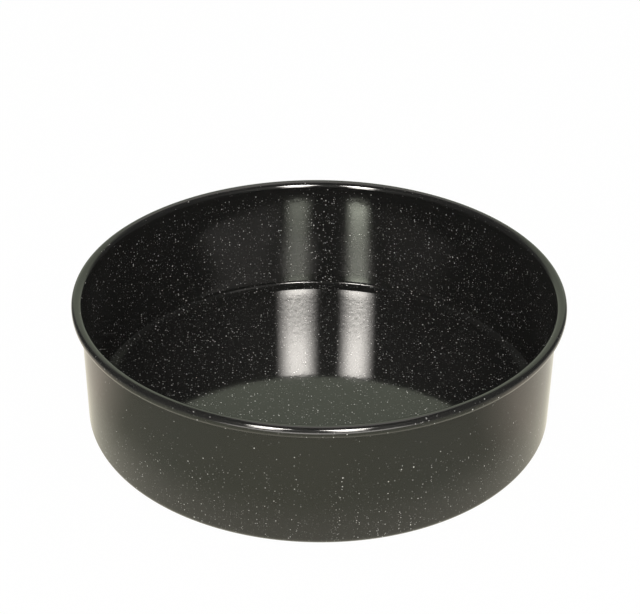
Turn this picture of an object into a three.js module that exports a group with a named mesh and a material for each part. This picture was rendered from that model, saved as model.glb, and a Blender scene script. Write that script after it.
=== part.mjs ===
// A round cake pan of vitreous-enamelled steel: one deep-drawn sheet with a rolled rim, and the glass
// coats that are fired on to it. Millimetres, +Z up, origin on the table under the middle of the base.

import * as THREE from 'three';

// Driving dimensions
const INSIDE_DIAMETER = 240; // between the enamelled walls: the pan's nominal size
const OVERALL_HEIGHT = 69.3; // from the table to the top of the rim
const STEEL_THICKNESS = 0.7;
const ENAMEL_THICKNESS = 0.25; // each coat
const FOOT_RADIUS = 2.8; // fillet between floor and wall, measured on the inner enamel
const SHOULDER_RADIUS = 3.4; // bend from the wall to the top of the rim, measured on the inner enamel
const ROLL_HOLLOW_WIDTH = 2; // bend of the sheet at the top of the roll, across its empty inside
const CURL_HOLLOW_WIDTH = 0.6; // the tighter bend at the foot of the roll, across its empty inside
const FLANK_TURN = 40; // degrees by which the roll's long outer side leans in before that bend
const ROLL_TURN = 270; // degrees that the sheet turns from the top of the rim to its cut edge
const ROLL_GAP = 0.25; // between the roll's cut edge and the wall that it curls back to
const STANDING_WIDTH = 14; // flat ring of the base that stands on the table
const BASE_RISE = 1; // the middle of the base arches up by this, so that heat can't bow it downwards

// Facets
const TURN_STEPS = 48; // round the axis
const CORNER_STEPS = 4; // in the quarter circle of the foot, and in that of the rim's shoulder
const ROLL_STEPS = 3; // in the quarter circle at the top of the roll
const FLANK_STEPS = 3;
const CURL_STEPS = 6;
const DISH_STEPS = 3;

// Depths of the four faces of the enamelled sheet, from the face that holds the cake outwards
const INNER_FACE = 0;
const STEEL_INSIDE = ENAMEL_THICKNESS;
const STEEL_OUTSIDE = STEEL_INSIDE + STEEL_THICKNESS;
const OUTER_FACE = STEEL_OUTSIDE + ENAMEL_THICKNESS;

// Sizes that follow, all on the inner face
const insideRadius = INSIDE_DIAMETER / 2;
const floorLevel = OUTER_FACE;
const standingOuterRadius = insideRadius - FOOT_RADIUS;
const dishRadius = standingOuterRadius - STANDING_WIDTH;
const footCentre = new THREE.Vector2(standingOuterRadius, floorLevel + FOOT_RADIUS);
const shoulderCentre = new THREE.Vector2(insideRadius + SHOULDER_RADIUS, OVERALL_HEIGHT - SHOULDER_RADIUS);

// The roll is three arcs that run into each other: its top, its long flank, and the curl under it.
// The flank's radius follows from the room between the rim's outer side and the wall, less the gap.
const ROLL_START = 90; // degrees: the top of the rim
const ROLL_SIDE = 0; // the rim's outer side
const curlStart = -FLANK_TURN;
const rollEnd = ROLL_START - ROLL_TURN;
const rollRadius = ROLL_HOLLOW_WIDTH / 2 + OUTER_FACE;
const curlRadius = CURL_HOLLOW_WIDTH / 2 + OUTER_FACE;
const rimRadius = insideRadius + SHOULDER_RADIUS + rollRadius;
const roomAcross = rimRadius - (insideRadius + OUTER_FACE + ROLL_GAP);
const lean = Math.cos(THREE.MathUtils.degToRad(FLANK_TURN));
const flankRadius = (roomAcross - curlRadius * (1 + lean)) / (1 - lean);
const rollTopCentre = new THREE.Vector2(insideRadius + SHOULDER_RADIUS, OVERALL_HEIGHT - rollRadius);
const flankCentre = new THREE.Vector2(rimRadius - flankRadius, rollTopCentre.y);
const [curlCentre] = arc(flankCentre, flankRadius - curlRadius, curlStart, curlStart, 1);

// Points (radius, height) along a circular arc, both ends included. Angles in degrees.
function arc(centre, radius, from, to, steps) {
  return Array.from({ length: steps + 1 }, (_, i) => {
    const angle = THREE.MathUtils.degToRad(THREE.MathUtils.lerp(from, to, i / steps));
    return new THREE.Vector2(radius * Math.cos(angle), radius * Math.sin(angle)).add(centre);
  });
}

// The stretches of one face of the sheet, each at a given depth below the inner face.
// The floor arches up from the standing ring to the middle along half a cosine wave.
function floor(depth) {
  return Array.from({ length: DISH_STEPS + 1 }, (_, i) => {
    const share = i / DISH_STEPS;
    const rise = BASE_RISE * (1 + Math.cos(Math.PI * share)) / 2;
    return new THREE.Vector2(dishRadius * share, floorLevel + rise - depth);
  });
}

function foot(depth) {
  return arc(footCentre, FOOT_RADIUS + depth, -90, 0, CORNER_STEPS);
}

function shoulder(depth) {
  return arc(shoulderCentre, SHOULDER_RADIUS - depth, 180, ROLL_START, CORNER_STEPS);
}

// The roll turns down from the top, leans in along its flank, and curls under and back up beside the wall
function roll(depth) {
  const over = arc(rollTopCentre, rollRadius - depth, ROLL_START, ROLL_SIDE, ROLL_STEPS);
  const flank = arc(flankCentre, flankRadius - depth, ROLL_SIDE, curlStart, FLANK_STEPS);
  const curl = arc(curlCentre, curlRadius - depth, curlStart, rollEnd, CURL_STEPS);
  return [...over.slice(1), ...flank.slice(1), ...curl.slice(1)];
}

function wholeFace(depth) {
  return [...floor(depth), ...foot(depth), ...shoulder(depth), ...roll(depth)];
}

// The lip of enamel that closes the sheet's cut edge, one coat thick, at a given depth
function cutEdgeLip(depth) {
  const lipAngle = THREE.MathUtils.radToDeg(ENAMEL_THICKNESS / curlRadius);
  return arc(curlCentre, curlRadius - depth, rollEnd - lipAngle, rollEnd, 1);
}

// Turns the closed section between an upper and a lower face about the axis, and stands it up along +Z
function turned(name, upperFace, lowerFace, material) {
  const section = [...lowerFace, ...upperFace.reverse()];
  const closesOnAxis = section[0].x === 0;
  const profile = closesOnAxis ? section : [...section, section[0]];
  const geometry = new THREE.LatheGeometry(profile, TURN_STEPS).rotateX(Math.PI / 2);
  const mesh = new THREE.Mesh(geometry, material);
  mesh.name = name;
  return mesh;
}

const bareSteel = new THREE.MeshStandardMaterial({ color: 0x85878a, roughness: 0.45, metalness: 1 });
const speckledEnamel = new THREE.MeshStandardMaterial({ color: 0x1b1b19, roughness: 0.12, metalness: 0 });
const groundEnamel = new THREE.MeshStandardMaterial({ color: 0x171716, roughness: 0.22, metalness: 0 });

// The pressing: floor, wall and hollow rolled rim in one sheet
function steelShell() {
  return turned('steel_shell', wholeFace(STEEL_INSIDE), wholeFace(STEEL_OUTSIDE), bareSteel);
}

// The coat that holds the cake: it runs over the rim, round the roll and over the sheet's cut edge
function innerEnamel() {
  const [lipTip] = cutEdgeLip(INNER_FACE);
  const lipBack = cutEdgeLip(STEEL_OUTSIDE);
  const coatFace = [...wholeFace(INNER_FACE), lipTip, ...lipBack];
  return turned('inner_enamel', coatFace, wholeFace(STEEL_INSIDE), speckledEnamel);
}

// The base coat ends part of the way up the foot's curve, and the wall coat goes on from there
const BASE_COAT_STEPS = 1;

// The coat on the outside of the wall, up to the mouth of the roll
function outerEnamel() {
  const wallCoatFace = (depth) => [...foot(depth).slice(BASE_COAT_STEPS), shoulder(depth)[0]];
  return turned('outer_enamel', wallCoatFace(STEEL_OUTSIDE), wallCoatFace(OUTER_FACE), speckledEnamel);
}

// The coat under the base, which the pan stands on
function baseEnamel() {
  const baseCoatFace = (depth) => [...floor(depth), ...foot(depth).slice(0, BASE_COAT_STEPS + 1)];
  return turned('base_enamel', baseCoatFace(STEEL_OUTSIDE), baseCoatFace(OUTER_FACE), groundEnamel);
}

const cakePan = new THREE.Group();
cakePan.name = 'cake_pan';
cakePan.add(steelShell(), innerEnamel(), outerEnamel(), baseEnamel());

export default cakePan;
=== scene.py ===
# %% [markdown]
# # A speckled enamel cake pan
#
# The pan is one sheet of steel, pressed into a round tray with a rolled rim, and covered with black
# glass. Glass coats on steel are called vitreous enamel. The solids of the part are loaded first,
# because they give every size and place. They have flat facets, so this lesson draws the same shapes
# again with smooth surfaces, and then works on what the eye notices most: the black gloss, its white
# specks, and the light.

import bpy
import numpy as np
from mathutils import Matrix, Vector


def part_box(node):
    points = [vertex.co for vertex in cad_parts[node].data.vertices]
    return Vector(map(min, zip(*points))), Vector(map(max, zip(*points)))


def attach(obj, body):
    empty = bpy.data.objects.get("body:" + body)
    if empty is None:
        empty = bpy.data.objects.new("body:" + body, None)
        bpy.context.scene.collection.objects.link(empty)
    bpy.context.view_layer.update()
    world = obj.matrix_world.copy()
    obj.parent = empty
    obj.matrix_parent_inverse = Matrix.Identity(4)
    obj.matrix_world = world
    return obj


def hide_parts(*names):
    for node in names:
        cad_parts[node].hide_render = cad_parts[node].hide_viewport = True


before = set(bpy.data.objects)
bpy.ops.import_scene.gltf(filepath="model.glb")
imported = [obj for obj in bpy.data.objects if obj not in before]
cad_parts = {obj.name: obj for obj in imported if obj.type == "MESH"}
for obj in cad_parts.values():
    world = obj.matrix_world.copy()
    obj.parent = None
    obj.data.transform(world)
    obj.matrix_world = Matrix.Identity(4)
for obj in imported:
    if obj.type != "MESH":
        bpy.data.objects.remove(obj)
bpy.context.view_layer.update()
MM = 0.001
print("pieces of the solid model:", sorted(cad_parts))

# %% [markdown]
# ## Sizes
#
# Most sizes can be read off the boxes of the four solids, so that they follow the part if it changes.
# The coats and the steel lie on each other like onion skins, and the differences between their boxes are
# the thicknesses. A few sizes don't show in any box, such as the curves at the foot and the turns of the
# roll, and are written down here in millimetres and degrees.

# %% Read the sizes of the sheet, the wall and the rim
steel_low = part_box("steel_shell")[0]
inner_low, inner_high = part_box("inner_enamel")
outer_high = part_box("outer_enamel")[1]
base_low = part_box("base_enamel")[0]

COAT = steel_low.z - base_low.z
STEEL = inner_low.z - steel_low.z
SHEET = STEEL + 2 * COAT
INSIDE_RADIUS = outer_high.x - SHEET
HEIGHT = inner_high.z
SHOULDER_RADIUS = HEIGHT - outer_high.z
ROLL_RADIUS = inner_high.x - INSIDE_RADIUS - SHOULDER_RADIUS

CURL_RADIUS = SHEET + 0.3 * MM
FLANK_START = 10
FLANK_TURN = 50
ROLL_TURN = 270
ROLL_GAP = 0.25 * MM
FOOT_RADIUS = 2.8 * MM
POOL_TURN = 28
POOL_WIDE = 12 * MM
POOL_TIGHT = 1 * MM
STANDING_WIDTH = 14 * MM
BASE_RISE = 1 * MM
BASE_COAT_EDGE = -67.5

RIM_RADIUS = INSIDE_RADIUS + SHOULDER_RADIUS + ROLL_RADIUS
POOL_TOP = POOL_WIDE - (POOL_WIDE - POOL_TIGHT) * np.cos(np.radians(POOL_TURN))
STANDING_RADIUS = INSIDE_RADIUS - FOOT_RADIUS
DISH_RADIUS = STANDING_RADIUS - STANDING_WIDTH
print(f"inside {2000 * INSIDE_RADIUS:.1f} mm across, {1000 * HEIGHT:.1f} mm high")
print(f"shoulder {1000 * SHOULDER_RADIUS:.2f} mm, roll {1000 * ROLL_RADIUS:.2f} mm")
print(f"sheet {1000 * SHEET:.2f} mm, of which each coat is {1000 * COAT:.2f} mm")

# %% [markdown]
# ## One section for every skin
#
# A pan like this is spun or pressed, so a single outline turned about the axis gives all of it. The
# outline runs from the middle of the floor to the foot, up the wall, over the shoulder and round the
# roll to the cut edge of the sheet. Each skin is the same outline at another depth below the inner face:
# arcs that bulge one way get larger and arcs that bulge the other way get smaller. One function of the
# depth therefore draws steel and coats alike, and they always touch.

# %% The outline at any depth below the inner face
def arc(middle, radius, start, end, steps):
    """Points on a circle: middle + radius * (cosine, sine), evenly from start to end, in degrees."""
    angle = np.radians(np.linspace(start, end, steps + 1))
    return np.column_stack([middle[0] + radius * np.cos(angle), middle[1] + radius * np.sin(angle)])


def floor_line(depth, steps=40):
    """Radius goes from the axis to the standing ring; height is the floor plus half a cosine wave."""
    share = np.linspace(0, 1, steps + 1)
    rise = BASE_RISE * (1 + np.cos(np.pi * share)) / 2
    return np.column_stack([DISH_RADIUS * share, SHEET + rise - depth])


def foot_line(depth, start=-90, steps=16):
    """A quarter circle from the floor to the wall, whose radius grows with depth."""
    return arc((STANDING_RADIUS, SHEET + FOOT_RADIUS), FOOT_RADIUS + depth, start, 0, steps)


def pool_line(steps=12):
    """The inside of the foot: a wide arc lifts the floor's edge, and a tight one turns up to the wall."""
    tight_middle = (INSIDE_RADIUS - POOL_TIGHT, SHEET + POOL_TOP)
    wide_middle = arc(tight_middle, POOL_WIDE - POOL_TIGHT, 90 + POOL_TURN, 90 + POOL_TURN, 0)[0]
    wide = arc(wide_middle, POOL_WIDE, -90, POOL_TURN - 90, steps)
    tight = arc(tight_middle, POOL_TIGHT, POOL_TURN - 90, 0, steps)
    return np.vstack([wide, tight[1:]])


def shoulder_line(depth, steps=20):
    """A quarter circle from the wall to the top of the rim, whose radius shrinks with depth."""
    middle = (INSIDE_RADIUS + SHOULDER_RADIUS, HEIGHT - SHOULDER_RADIUS)
    return arc(middle, SHOULDER_RADIUS - depth, 180, 90, steps)


def roll_line(depth, steps=16):
    """Three arcs that run into each other: over the top, down the flank, and back up beside the wall."""
    over = arc(OVER_MIDDLE, OVER_RADIUS - depth, 90, FLANK_START, steps)
    flank = arc(FLANK_MIDDLE, FLANK_RADIUS - depth, FLANK_START, -FLANK_TURN, steps)
    curl = arc(CURL_MIDDLE, CURL_RADIUS - depth, -FLANK_TURN, 90 - ROLL_TURN, steps)
    return np.vstack([over[1:], flank[1:], curl[1:]])


def wall_line(depth, start=FOOT_RADIUS, steps=12):
    """Evenly spaced points between the top of the foot and the bottom of the shoulder, without both."""
    height = np.linspace(SHEET + start, HEIGHT - SHOULDER_RADIUS, steps + 1)[1:-1]
    return np.column_stack([np.full(len(height), INSIDE_RADIUS + depth), height])


def whole_line(depth):
    """Floor, foot, wall, shoulder and roll, one after the other."""
    below = [floor_line(depth), foot_line(depth), wall_line(depth)]
    above = [shoulder_line(depth), roll_line(depth)]
    return np.vstack(below + above)


# The flank's radius follows from the room between the rim's outer side and the wall, less the gap.
# The arc over the top is sized so that the flank, at its widest, reaches out to the rim's radius.
lean = np.cos(np.radians(FLANK_TURN))
room_across = RIM_RADIUS - INSIDE_RADIUS - SHEET - ROLL_GAP
FLANK_RADIUS = (room_across - CURL_RADIUS * (1 + lean)) / (1 - lean)
begin = np.cos(np.radians(FLANK_START))
OVER_RADIUS = (ROLL_RADIUS - FLANK_RADIUS * (1 - begin)) / begin
OVER_MIDDLE = (INSIDE_RADIUS + SHOULDER_RADIUS, HEIGHT - OVER_RADIUS)
FLANK_MIDDLE = arc(OVER_MIDDLE, OVER_RADIUS - FLANK_RADIUS, FLANK_START, FLANK_START, 0)[0]
CURL_MIDDLE = arc(FLANK_MIDDLE, FLANK_RADIUS - CURL_RADIUS, -FLANK_TURN, -FLANK_TURN, 0)[0]
print("points in one outline:", len(whole_line(0)))
rim_height = HEIGHT - CURL_MIDDLE[1] + CURL_RADIUS
print(f"flank radius {1000 * FLANK_RADIUS:.2f} mm, the rim is {1000 * rim_height:.2f} mm high")

# %% [markdown]
# ## Turning an outline into a skin
#
# Blender's Screw modifier could turn the outline, but then the poles on the axis have to be merged and
# the normals checked. Worked out with numpy, the surface is a grid: one direction runs along the
# section, the other round the axis. A section that starts and ends on the axis gets one point at each
# pole. A section that doesn't is closed into a ring. The sign of the enclosed volume tells whether the
# faces look outwards.

# %% Revolve a section
TURN_STEPS = 256


def revolve(section, poles):
    """Point (r, z) of the section at turn t is (r cos t, r sin t, z); grid neighbours share a face."""
    turn = 2 * np.pi * np.arange(TURN_STEPS) / TURN_STEPS
    rings = section[1:-1] if poles else section
    radius, height = rings[:, :1], rings[:, 1:]
    grid = np.stack([radius * np.cos(turn), radius * np.sin(turn), height + 0 * turn], axis=-1)
    points = grid.reshape(-1, 3)
    count = len(rings)
    index = np.arange(count * TURN_STEPS).reshape(count, TURN_STEPS)
    here = index[:-1] if poles else index
    there = index[1:] if poles else np.roll(index, -1, axis=0)
    beside = [here, np.roll(here, -1, axis=1), np.roll(there, -1, axis=1), there]
    faces = np.stack(beside, axis=-1).reshape(-1, 4).tolist()
    if poles:
        first, last = len(points), len(points) + 1
        points = np.vstack([points, [[0, 0, section[0, 1]], [0, 0, section[-1, 1]]]])
        start, end = index[0], index[-1]
        faces += np.column_stack([np.full(TURN_STEPS, first), np.roll(start, -1), start]).tolist()
        faces += np.column_stack([np.full(TURN_STEPS, last), end, np.roll(end, -1)]).tolist()
    return points, faces


def enclosed_volume(section):
    """Adds a frustum per edge: pi / 3 * (r1 squared + r1 * r2 + r2 squared) * the edge's step in z."""
    following = np.roll(section, -1, axis=0)
    squared = (section[:, 0] ** 2 + section[:, 0] * following[:, 0] + following[:, 0] ** 2) / 3
    return np.pi * np.sum(squared * (following[:, 1] - section[:, 1]))


CREASE = np.radians(35)


def skin(name, section, poles):
    """Makes the mesh of one skin, smooth except at its edges, to stand for the solid of that name."""
    if enclosed_volume(section) > 0:
        section = section[::-1]
    points, faces = revolve(section, poles)
    mesh = bpy.data.meshes.new(name)
    mesh.from_pydata(points.tolist(), [], faces)
    mesh.polygons.foreach_set("use_smooth", np.ones(len(mesh.polygons), bool))
    mesh.set_sharp_from_angle(angle=CREASE)
    piece = bpy.data.objects.new(name + "_skin", mesh)
    bpy.context.scene.collection.objects.link(piece)
    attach(piece, "root")
    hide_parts(name)
    print(name, "has", len(mesh.polygons), "faces")
    return piece


# %% [markdown]
# ## The steel
#
# The pressing carries everything, but the glass hides it. It is still drawn as a smooth skin of its own,
# because the faceted solid would poke through the thin coats between its corners.

# %% Draw the steel sheet
steel_section = np.vstack([whole_line(COAT + STEEL), whole_line(COAT)[::-1]])
steel_shell = skin("steel_shell", steel_section, True)

# %% [markdown]
# ## The inside coat
#
# This is the coat that one sees most: it fills the inside, runs over the rim and round the roll, and
# wraps over the cut edge of the sheet, so that no steel is left bare to rust. The wrap is one coat
# thick. Wet enamel runs down the wall and pools in the corner at its foot, so the coat has its own curve
# there, which rises gently from the floor.

# %% Draw the inside coat
def cut_edge_lip():
    """Three points that close the coat over the sheet's cut edge, one coat beyond it along the roll."""
    angle = 90 - ROLL_TURN - np.degrees(COAT / CURL_RADIUS)
    tip = arc(CURL_MIDDLE, CURL_RADIUS, angle, angle, 0)
    back = arc(CURL_MIDDLE, CURL_RADIUS - COAT - STEEL, angle, 90 - ROLL_TURN, 1)
    return np.vstack([tip, back])


inside_line = [floor_line(0), pool_line(), wall_line(0, POOL_TOP)]
inner_face = np.vstack([*inside_line, shoulder_line(0), roll_line(0)])
inner_section = np.vstack([inner_face, cut_edge_lip(), whole_line(COAT)[::-1]])
inner_enamel = skin("inner_enamel", inner_section, True)

# %% [markdown]
# ## The wall coat and the base coat
#
# Outside, the coat comes in two parts. The wall is sprayed with the speckled finish, and the base keeps
# the plain coat below it, because it is scraped on oven shelves. They meet low on the curve of the foot,
# where the eye hardly sees the line.

# %% Draw the outer coats
def wall_coat_line(depth):
    """From the base coat's edge round the rest of the foot and up the wall to the mouth of the roll."""
    top = np.array([[INSIDE_RADIUS + depth, HEIGHT - SHOULDER_RADIUS]])
    return np.vstack([foot_line(depth, BASE_COAT_EDGE), wall_line(depth), top])


def base_coat_line(depth):
    """The floor and the first part of the foot."""
    middle = (STANDING_RADIUS, SHEET + FOOT_RADIUS)
    foot = arc(middle, FOOT_RADIUS + depth, -90, BASE_COAT_EDGE, steps=5)
    return np.vstack([floor_line(depth), foot])


wall_section = np.vstack([wall_coat_line(SHEET), wall_coat_line(SHEET - COAT)[::-1]])
outer_enamel = skin("outer_enamel", wall_section, False)
base_section = np.vstack([base_coat_line(SHEET), base_coat_line(SHEET - COAT)[::-1]])
base_enamel = skin("base_enamel", base_section, True)

# %% [markdown]
# ## Tools for materials
#
# Colours are written as hex values, as in any paint program, and one function turns them into the linear
# numbers that a renderer needs. A second function adds a node, sets it up and links it. Three short ones
# use it to do sums, to map one range to another and to mix two colours, so that a material reads like a
# list.

# %% Colour and node helpers
def linear(code, alpha=1.0):
    """sRGB hex to linear: up to 0.04045 it is value / 12.92, above ((value + 0.055) / 1.055) ** 2.4."""
    value = np.array([int(code[i:i + 2], 16) for i in (1, 3, 5)]) / 255
    straight = np.where(value <= 0.04045, value / 12.92, ((value + 0.055) / 1.055) ** 2.4)
    return (*straight.tolist(), alpha)


def add_node(tree, kind, inputs=None, **settings):
    """Adds a node; inputs are values to set or sockets to link from, settings are its own properties."""
    made = tree.nodes.new(kind)
    for name, value in settings.items():
        setattr(made, name, value)
    for name, value in (inputs or {}).items():
        if isinstance(value, bpy.types.NodeSocket):
            tree.links.new(value, made.inputs[name])
        else:
            made.inputs[name].default_value = value
    return made


def maths(tree, operation, *values):
    """One sum: the name of the operation, then its values or sockets in order."""
    return add_node(tree, "ShaderNodeMath", dict(enumerate(values)), operation=operation).outputs[0]


def span(tree, value, start, end, low=0.0, high=1.0, curve="LINEAR"):
    """Maps start to low and end to high, straight or smoothly, and stays level beyond both."""
    ends = {"Value": value, "From Min": start, "From Max": end, "To Min": low, "To Max": high}
    return add_node(tree, "ShaderNodeMapRange", ends, interpolation_type=curve).outputs[0]


def blend(tree, share, first, second):
    """A colour that goes from the first to the second as the share goes from 0 to 1."""
    mix = add_node(tree, "ShaderNodeMix", {"Factor": share, "A": first, "B": second}, data_type="RGBA")
    return mix.outputs["Result"]


def new_material(name):
    """An empty material; returns the material and its node tree."""
    material = bpy.data.materials.new(name)
    material.use_nodes = True
    material.node_tree.nodes.clear()
    return material, material.node_tree


# %% [markdown]
# ## Speckled vitreous enamel
#
# Enamel is ground glass that is sprayed on wet and melted at about 820 degrees. It comes out with a hard
# gloss, and with the slight ripple of any melted coat, which enamellers call orange peel. The specks are
# grains of white enamel that are spattered over the black before firing and sink into it. In three
# dimensions, a Voronoi pattern is a cloud of random points with the distance to the nearest one, so a
# speck is wherever that distance is small. The surface cuts through some of these balls at the middle
# and others near the edge. Each point also has a random colour, and its three channels say whether the
# grain is there, how large it is and how bright. Most are dim, because they lie deep.

# %% Make the speckled enamel
BLACK_GLASS = linear("#1c1c1b")
WHITE_GRAIN = linear("#eeeeec")
GLASS_IOR = 1.6
GLASS_ROUGHNESS = 0.07
PEEL_WAVE = 2.4 * MM
PEEL_HEIGHT = 0.011 * MM
SMALLEST_GRAIN = 0.35
DIMMEST_GRAIN = 0.05
GRAIN_CORE = 0.5
RARITY = 6.0


def speckled_enamel(name, cell, grain, low, high, top_share):
    """Black glass with pale grains: cell is their spacing and grain the largest radius, in metres.

    From the height low up to the height high, the share of the grains that is left falls from 1 to
    top_share. A grain's brightness is a random number to the power of RARITY, so few are bright.
    """
    material, tree = new_material(name)
    place = add_node(tree, "ShaderNodeTexCoord").outputs["Object"]
    cloud = add_node(tree, "ShaderNodeTexVoronoi", {"Vector": place, "Scale": 1 / cell})
    chance = add_node(tree, "ShaderNodeSeparateColor", {"Color": cloud.outputs["Color"]})
    up = add_node(tree, "ShaderNodeSeparateXYZ", {"Vector": place}).outputs["Z"]
    crowd = span(tree, up, low, high, 1.0, top_share)
    kept = maths(tree, "LESS_THAN", chance.outputs["Blue"], crowd)
    reach = span(tree, chance.outputs["Red"], 0, 1, SMALLEST_GRAIN * grain / cell, grain / cell)
    out = maths(tree, "DIVIDE", cloud.outputs["Distance"], reach)
    inside = span(tree, out, 1.0, GRAIN_CORE, curve="SMOOTHSTEP")
    rare = maths(tree, "POWER", chance.outputs["Green"], RARITY)
    bright = span(tree, rare, 0, 1, DIMMEST_GRAIN, 1.0)
    shown = maths(tree, "MULTIPLY", inside, bright)
    speck = maths(tree, "MULTIPLY", shown, kept)
    paint = blend(tree, speck, BLACK_GLASS, WHITE_GRAIN)
    peel = add_node(tree, "ShaderNodeTexNoise", {"Vector": place, "Scale": 1 / PEEL_WAVE, "Detail": 1.0})
    ripple = add_node(tree, "ShaderNodeBump", {"Height": peel.outputs["Fac"], "Distance": PEEL_HEIGHT,
                                               "Strength": 1.0})
    gloss = add_node(tree, "ShaderNodeBsdfPrincipled", {"Base Color": paint, "Roughness": GLASS_ROUGHNESS,
                                                        "IOR": GLASS_IOR,
                                                        "Normal": ripple.outputs["Normal"]})
    add_node(tree, "ShaderNodeOutputMaterial", {"Surface": gloss.outputs["BSDF"]})
    return material


# Inside, the grains lie evenly up to just below the rim; outside, the spray was aimed low
inside_coat = speckled_enamel("vitreous enamel, speckled, inside", cell=1.2 * MM, grain=0.48 * MM,
                              low=59 * MM, high=64 * MM, top_share=0.2)
wall_coat = speckled_enamel("vitreous enamel, speckled, wall", cell=0.95 * MM, grain=0.36 * MM,
                            low=5 * MM, high=54 * MM, top_share=0.05)
inner_enamel.data.materials.append(inside_coat)
outer_enamel.data.materials.append(wall_coat)
print("materials:", [material.name for material in bpy.data.materials if "enamel" in material.name])

# %% [markdown]
# ## Plain ground enamel under the base
#
# The base has the plain coat that is fired on to bare steel first. It is less glossy than the wall, and
# unevenly so.

# %% Make the base enamel
BASE_DARK = linear("#121212")
BASE_PALE = linear("#1f1e1c")
CLOUD_SIZE = 9 * MM
CLOUD_LOW, CLOUD_HIGH = 0.3, 0.7
LEAST_DULL, MOST_DULL = 0.16, 0.34
BASE_PEEL_HEIGHT = 0.02 * MM


def ground_enamel(name):
    """Dark glass, duller than the wall; one cloud of noise varies both its gloss and its tone."""
    material, tree = new_material(name)
    place = add_node(tree, "ShaderNodeTexCoord").outputs["Object"]
    cloud = add_node(tree, "ShaderNodeTexNoise", {"Vector": place, "Scale": 1 / CLOUD_SIZE, "Detail": 4.0})
    dull = span(tree, cloud.outputs["Fac"], CLOUD_LOW, CLOUD_HIGH, LEAST_DULL, MOST_DULL)
    tone = blend(tree, cloud.outputs["Fac"], BASE_DARK, BASE_PALE)
    peel = add_node(tree, "ShaderNodeTexNoise", {"Vector": place, "Scale": 1 / PEEL_WAVE, "Detail": 2.0})
    ripple = add_node(tree, "ShaderNodeBump", {"Height": peel.outputs["Fac"], "Distance": BASE_PEEL_HEIGHT})
    gloss = add_node(tree, "ShaderNodeBsdfPrincipled", {"Base Color": tone, "Roughness": dull,
                                                        "IOR": GLASS_IOR,
                                                        "Normal": ripple.outputs["Normal"]})
    add_node(tree, "ShaderNodeOutputMaterial", {"Surface": gloss.outputs["BSDF"]})
    return material


base_enamel.data.materials.append(ground_enamel("vitreous enamel, ground coat"))
print("base coat:", base_enamel.data.materials[0].name)

# %% [markdown]
# ## Bare pressed steel
#
# Only the inside of the hollow roll is left bare, and nobody can look into it. It still gets a proper
# steel, grey and a little uneven in its shine.

# %% Make the steel
STEEL_DARK = linear("#7d7f82")
STEEL_PALE = linear("#939598")
STEEL_GRAIN = 1.5 * MM
STEEL_LEAST_DULL, STEEL_MOST_DULL = 0.35, 0.55


def pressed_steel(name):
    """Grey metal with a soft, slightly uneven shine."""
    material, tree = new_material(name)
    place = add_node(tree, "ShaderNodeTexCoord").outputs["Object"]
    cloud = add_node(tree, "ShaderNodeTexNoise", {"Vector": place, "Scale": 1 / STEEL_GRAIN, "Detail": 3.0})
    dull = span(tree, cloud.outputs["Fac"], 0, 1, STEEL_LEAST_DULL, STEEL_MOST_DULL)
    tone = blend(tree, cloud.outputs["Fac"], STEEL_DARK, STEEL_PALE)
    metal = add_node(tree, "ShaderNodeBsdfPrincipled", {"Base Color": tone, "Metallic": 1.0,
                                                        "Roughness": dull})
    add_node(tree, "ShaderNodeOutputMaterial", {"Surface": metal.outputs["BSDF"]})
    return material


steel_shell.data.materials.append(pressed_steel("pressed sheet steel, bare"))
print("steel:", steel_shell.data.materials[0].name)

# %% [markdown]
# ## The floor
#
# The pan stands on a plain white sheet, which shows as pure white. The camera sees it at strength 1, with a
# small share of ordinary shading, so that the pan still casts a soft shadow. Mirror rays see the sheet with
# lamp light painted into its colour: cream paper with a painted pool of light close to the pan, painted
# falloff that is darker at the sides and brighter at its sides towards the back, and fading out where the
# sheet ends. That is a ramp of colours over the direction round the pan.

# %% Make the floor
FLOOR_REACH = 4.0
FLOOR_LEVEL = -0.02 * MM
FLOOR_CORNERS = FLOOR_REACH * np.array([(-1, -1), (1, -1), (1, 1), (-1, 1)])
floor_mesh = bpy.data.meshes.new("floor")
floor_mesh.from_pydata([(x, y, FLOOR_LEVEL) for x, y in FLOOR_CORNERS], [], [(0, 1, 2, 3)])
floor = bpy.data.objects.new("floor", floor_mesh)
bpy.context.scene.collection.objects.link(floor)
print(f"the floor reaches {FLOOR_REACH:.0f} m to each side")

# %% [markdown]
# ## The paper's colours and painted light
#
# The colours are listed by the angle from the front of the pan, and they hold the paper's cream tint
# together with painted lamp falloff. Two more mixes depend on the distance from its axis: a painted pool of
# brighter light close to the foot, and grey beyond the edge of the sheet.

# %% Colour the floor
# Mirrored paper colours by angle: cream tint plus painted lamp falloff, darker at the sides and brighter
# towards the back
SHEET_TINT_AND_PAINTED_FALLOFF = {110: "#fffaea", 80: "#fcf0dd", 60: "#b5b4a0", 40: "#c2c4ae", 20: "#c8cab0", 0: "#cdceb3"}
PAINTED_LIGHT_POOL = linear("#fffae6")
PAPER_SHADED = linear("#f2f2f0")
BEYOND_SHEET = linear("#94948f")
SHEET_AXIS = (0.12, 0.99, 0)
NEAR_START, NEAR_END, PAINTED_POOL_SHARE = 160 * MM, 122 * MM, 0.8
FAR_START, FAR_END = 230 * MM, 300 * MM
CAMERA_SHARE = 0.985


def colour_ramp(tree, share, colours):
    """A ramp over the given share; colours maps a position from 0 to 1 to its hex colour."""
    ramp = add_node(tree, "ShaderNodeValToRGB", {"Fac": share})
    stops = ramp.color_ramp.elements
    for spot in list(colours)[2:]:
        stops.new(spot)
    for stop, (spot, code) in zip(stops, sorted(colours.items())):
        stop.position = spot
        stop.color = linear(code)
    return ramp.outputs["Color"]


def cosine_between(tree, heading, axis):
    """The cosine between a heading and an axis."""
    both = {0: heading, 1: axis}
    return add_node(tree, "ShaderNodeVectorMath", both, operation="DOT_PRODUCT").outputs["Value"]


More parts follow.
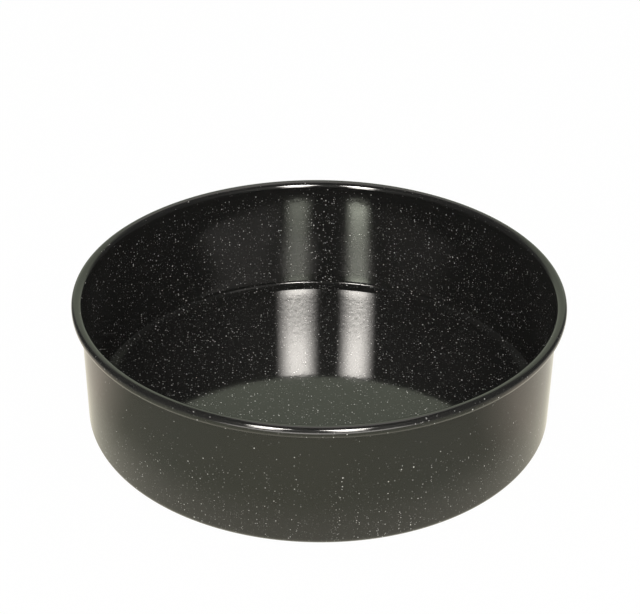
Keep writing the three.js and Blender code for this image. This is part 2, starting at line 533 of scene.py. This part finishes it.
white_sheet, tree = new_material("white paper sheet")
place = add_node(tree, "ShaderNodeTexCoord").outputs["Object"]
flat = add_node(tree, "ShaderNodeVectorMath", {0: place, 1: (1, 1, 0)}, operation="MULTIPLY").outputs[0]
distance = add_node(tree, "ShaderNodeVectorMath", {0: flat}, operation="LENGTH").outputs["Value"]
heading = add_node(tree, "ShaderNodeVectorMath", {0: flat}, operation="NORMALIZE").outputs[0]
front = span(tree, cosine_between(tree, heading, SHEET_AXIS), 1.0, -1.0)
round_pan = {(1 + float(np.cos(np.radians(angle)))) / 2: code for angle, code in SHEET_TINT_AND_PAINTED_FALLOFF.items()}
# This ramp paints lamp falloff into the paper's colour
paper = colour_ramp(tree, front, round_pan)
# Painted light: a pool of brighter lamp light on the paper close to the foot, seen in mirror rays only
near = span(tree, distance, NEAR_START, NEAR_END, 0.0, PAINTED_POOL_SHARE, "SMOOTHSTEP")
with_painted_pool = blend(tree, near, paper, PAINTED_LIGHT_POOL)
far = span(tree, distance, FAR_START, FAR_END)
ended = blend(tree, far, with_painted_pool, BEYOND_SHEET)
path = add_node(tree, "ShaderNodeLightPath")
shaded = add_node(tree, "ShaderNodeBsdfDiffuse", {"Color": PAPER_SHADED})
white = add_node(tree, "ShaderNodeEmission", {"Color": (1, 1, 1, 1), "Strength": 1.0})
# What mirror rays see: the paper with painted lamp falloff and a painted pool of light
mirrored = add_node(tree, "ShaderNodeEmission", {"Color": ended, "Strength": 1.0})
keep = maths(tree, "MULTIPLY", path.outputs["Is Camera Ray"], CAMERA_SHARE)
seen = add_node(tree, "ShaderNodeMixShader", {"Fac": keep, 1: shaded.outputs[0], 2: white.outputs[0]})
sheet_mix = add_node(tree, "ShaderNodeMixShader", {"Fac": path.outputs["Is Glossy Ray"],
                                                   1: seen.outputs[0], 2: mirrored.outputs[0]})
add_node(tree, "ShaderNodeOutputMaterial", {"Surface": sheet_mix.outputs[0]})
floor.data.materials.append(white_sheet)
print("paper colours:", len(SHEET_TINT_AND_PAINTED_FALLOFF))

# %% [markdown]
# ## The room
#
# Black glass shows the room more than itself. Behind the pan stands a pale cove up to a height of about
# 40 degrees. The sides and the ceiling are darker, so that the rounded edges keep their dark lines. The
# room is seen in mirror rays only; rays of soft light get an even grey instead.

# %% Make the world
COVE_FRONT = linear("#a5a5a0")
COVE_BACK = linear("#dbe3cc")
SIDE_GREY = linear("#616160")
CEILING_GREY = linear("#6a6a67")
COVE_AXIS = (0.17, 0.98, 0)
COVE_START, COVE_FULL = 0.3, 0.75
SIDE_START, SIDE_FULL = 0.45, 0.75
CEILING_LOW, CEILING_FULL = 40, 46
SOFT_LIGHT = 0.6

world = bpy.data.worlds.new("studio")
bpy.context.scene.world = world
world.use_nodes = True
tree = world.node_tree
tree.nodes.clear()
way = add_node(tree, "ShaderNodeTexCoord").outputs["Generated"]
parts = add_node(tree, "ShaderNodeSeparateXYZ", {"Vector": way})
behind = cosine_between(tree, way, COVE_AXIS)
back = span(tree, behind, COVE_START, COVE_FULL, curve="SMOOTHSTEP")
cove = blend(tree, back, COVE_FRONT, COVE_BACK)
aside = maths(tree, "ABSOLUTE", parts.outputs["X"])
wing = span(tree, aside, SIDE_START, SIDE_FULL, curve="SMOOTHSTEP")
sides = blend(tree, wing, cove, SIDE_GREY)
ceiling = [float(np.sin(np.radians(angle))) for angle in (CEILING_LOW, CEILING_FULL)]
high = span(tree, parts.outputs["Z"], *ceiling)
room = blend(tree, high, sides, CEILING_GREY)
path = add_node(tree, "ShaderNodeLightPath")
picture = add_node(tree, "ShaderNodeBackground", {"Color": room, "Strength": 1.0})
fill = add_node(tree, "ShaderNodeBackground", {"Color": (1, 1, 1, 1), "Strength": SOFT_LIGHT})
sky = add_node(tree, "ShaderNodeMixShader", {"Fac": path.outputs["Is Glossy Ray"], 1: fill.outputs[0],
                                             2: picture.outputs[0]})
add_node(tree, "ShaderNodeOutputWorld", {"Surface": sky.outputs[0]})
print("world:", world.name)

# %% [markdown]
# ## Tools for lamps
#
# Every lamp is a flat panel of glowing cloth. Cloth lamps are brightest in the middle, so the panels
# fade smoothly to both sides. How bright a panel looks depends on how often its light was mirrored on
# the way, which no real lamp can do. It is a help for the likeness, because the true lamps' shape isn't
# known.

# %% Panels of glowing cloth
LAMP_DISTANCE = 1.6
LAMP_TARGET = Vector((0, INSIDE_RADIUS, HEIGHT / 2))
SOFT_SHARE = 0.35
TWO_BOUNCES = 2


def panel(name, middle, target, across, tall):
    """A rectangle round the point middle that looks at target; its own x runs across and its own y up."""
    mesh = bpy.data.meshes.new(name)
    x, y = across / 2, tall / 2
    mesh.from_pydata([(-x, -y, 0), (x, -y, 0), (x, y, 0), (-x, y, 0)], [], [(0, 1, 2, 3)])
    stand = bpy.data.objects.new(name, mesh)
    stand.location = middle
    stand.rotation_euler = (target - middle).to_track_quat("Z", "Y").to_euler()
    stand.visible_camera = False
    bpy.context.scene.collection.objects.link(stand)
    return stand


def lamp_cloth(name, colour, core, edge, top, low, high, once):
    """Light that fades across from core to edge, and goes from low at the height -top to high at top.

    Mirror rays see it in full after two bounces, and once times as bright after one. Soft light gets
    SOFT_SHARE of the latter. After three bounces nothing is seen, because that image would need a wall
    that is exactly upright.
    """
    material, tree = new_material(name)
    place = add_node(tree, "ShaderNodeTexCoord").outputs["Object"]
    spot = add_node(tree, "ShaderNodeSeparateXYZ", {"Vector": place})
    aside = maths(tree, "ABSOLUTE", spot.outputs["X"])
    bell = span(tree, aside, edge, core, curve="SMOOTHSTEP")
    level = span(tree, spot.outputs["Y"], -top, top, low, high)
    power = maths(tree, "MULTIPLY", bell, level)
    bounces = add_node(tree, "ShaderNodeLightPath").outputs["Glossy Depth"]
    second = maths(tree, "COMPARE", bounces, TWO_BOUNCES, 0.5)
    share = span(tree, second, 0, 1, once, 1.0)
    early = maths(tree, "LESS_THAN", bounces, TWO_BOUNCES + 0.5)
    seen = maths(tree, "MULTIPLY", share, early)
    soft = span(tree, bounces, 0, 1, SOFT_SHARE, 1.0)
    dimmed = maths(tree, "MULTIPLY", power, soft)
    shown = maths(tree, "MULTIPLY", dimmed, seen)
    glow = add_node(tree, "ShaderNodeEmission", {"Color": linear(colour), "Strength": shown})
    add_node(tree, "ShaderNodeOutputMaterial", {"Surface": glow.outputs[0]})
    return material


def strip_lamp(name, colour, azimuth, bottom, top, core, edge, low, high, once, setback=1.0):
    """A panel seen from the back wall between two height angles; core and edge are angles to its side.

    All angles are in degrees, and setback multiplies the usual distance. Half the height is the distance
    times the tangent of half the angle from bottom to top. The widths at core and edge are the distance
    times the cosine of the middle height angle times the sine of each.
    """
    side, lift = np.radians(azimuth), np.radians((bottom + top) / 2)
    away = Vector((np.sin(side) * np.cos(lift), -np.cos(side) * np.cos(lift), np.sin(lift)))
    distance = setback * LAMP_DISTANCE
    half = distance * np.tan(np.radians((top - bottom) / 2))
    inner, outer = distance * np.cos(lift) * np.sin(np.radians([core, edge]))
    stand = panel(name, LAMP_TARGET + distance * away, LAMP_TARGET, 2 * outer, 2 * half)
    stand.data.materials.append(lamp_cloth(name + " cloth", colour, inner, outer, half, low, high, once))
    print(f"{name}: {2 * outer:.2f} by {2 * half:.2f} m, {low} to {high} times paper white")
    return stand


# %% [markdown]
# ## Two strip lamps
#
# Two strip lamps stand behind the camera, a little above the line of sight. The wall and the floor of
# the pan work like the two mirrors of a bicycle reflector: light that comes in low goes back out at the
# same height. That is why each lamp shows as an upright bright band on the floor, and as a short white
# streak on the rim. Under each bright head hangs a dimmer skirt, which makes the fainter bands on the
# back wall, and a faint stand goes down from there to the floor. Two wide, dim screens beside the lamps
# lift the black of the back wall a little.

# %% Place the lamps
RIGHT, LEFT = 11.2, -19.5
RIGHT_SCREEN, LEFT_SCREEN = 42.0, -52.0
HEAD_LOW, HEAD_TOP = 29.8, 36.6
SKIRT_LOW, SKIRT_TOP = 24.0, HEAD_LOW - 0.2
STAND_LOW = -0.5
LAMP_WHITE = "#fffaf3"
SKIRT_WHITE = "#faffeb"

strip_lamp("right lamp head", LAMP_WHITE, RIGHT, HEAD_LOW, HEAD_TOP,
           core=1.5, edge=12.5, low=145, high=145, once=0.7)
strip_lamp("left lamp head", LAMP_WHITE, LEFT, HEAD_LOW, HEAD_TOP,
           core=1.0, edge=11.0, low=145, high=145, once=0.7)
skirts = [strip_lamp("right lamp skirt", SKIRT_WHITE, RIGHT, SKIRT_LOW, SKIRT_TOP,
                     core=1.0, edge=9.0, low=26, high=6, once=1.0),
          strip_lamp("left lamp skirt", SKIRT_WHITE, LEFT, SKIRT_LOW, SKIRT_TOP,
                     core=1.0, edge=8.0, low=60, high=6, once=0.7)]
stands = [strip_lamp("right lamp stand", LAMP_WHITE, RIGHT, STAND_LOW, SKIRT_LOW,
                     core=1.0, edge=9.0, low=4, high=4, once=5.0),
          strip_lamp("left lamp stand", LAMP_WHITE, LEFT, STAND_LOW, SKIRT_LOW,
                     core=1.0, edge=8.0, low=4, high=4, once=5.0)]
screens = [strip_lamp("right screen", LAMP_WHITE, RIGHT_SCREEN, SKIRT_LOW, SKIRT_TOP,
                      core=8.0, edge=45.0, low=0.3, high=3.6, once=0.3, setback=1.15),
           strip_lamp("left screen", LAMP_WHITE, LEFT_SCREEN, SKIRT_LOW, SKIRT_TOP,
                      core=8.0, edge=45.0, low=0.2, high=1.6, once=0.3, setback=1.15)]

# Soft light comes from the two heads; the dimmer panels only show in reflections
for dim_panel in skirts + stands + screens:
    dim_panel.visible_diffuse = False

# %% [markdown]
# ## A ceiling softbox and a low card
#
# A broad softbox hangs above and behind the pan and draws the pale line along the top of the rim. A low
# white card lies in front of the picture and throws light on the front of the roll.

# %% Place the softbox and the card
def even_lamp(name, middle, target, across, tall, radiance):
    """A panel of one brightness all over, in units of paper white."""
    stand = panel(name, Vector(middle), Vector(target), across, tall)
    material, tree = new_material(name + " cloth")
    glow = add_node(tree, "ShaderNodeEmission", {"Color": linear(LAMP_WHITE), "Strength": radiance})
    add_node(tree, "ShaderNodeOutputMaterial", {"Surface": glow.outputs[0]})
    stand.data.materials.append(material)
    print(f"{name}: {across} by {tall} m, {radiance} times paper white")


even_lamp("ceiling softbox", middle=(0.06, 0.6, 1.05), target=(0.06, 0.59, 0),
          across=0.5, tall=1.0, radiance=1.3)
even_lamp("low front card", middle=(0, -0.26, 0.002), target=(0, -0.261, 1),
          across=0.3, tall=0.09, radiance=3.8)

# %% [markdown]
# ## The camera
#
# The lens and the camera's place come from fitting the pan's outline, the edges of its rim and the line
# where wall and floor meet inside. The camera is tilted about half a degree sideways.

# %% Place the camera
FRAME_WIDTH_PX = 640
FOCAL_PX = 1465.9
SENSOR = 36.0
CAMERA_PLACE = (0, -0.64884, 0.44352)
PITCH, YAW, TILT = 30.7906, 0.0364, 0.5023
lens = bpy.data.cameras.new("camera")
lens.sensor_width = SENSOR
lens.lens = SENSOR * FOCAL_PX / FRAME_WIDTH_PX
camera = bpy.data.objects.new("camera", lens)
turned = Matrix.Rotation(np.radians(-YAW), 4, "Z") @ Matrix.Rotation(np.radians(90 - PITCH), 4, "X")
tilted = Matrix.Rotation(np.radians(TILT), 4, "Z")
camera.matrix_world = Matrix.Translation(CAMERA_PLACE) @ turned @ tilted
bpy.context.scene.collection.objects.link(camera)
bpy.context.scene.camera = camera
bpy.context.scene.view_settings.view_transform = "Standard"
print(f"lens {lens.lens:.1f} mm")
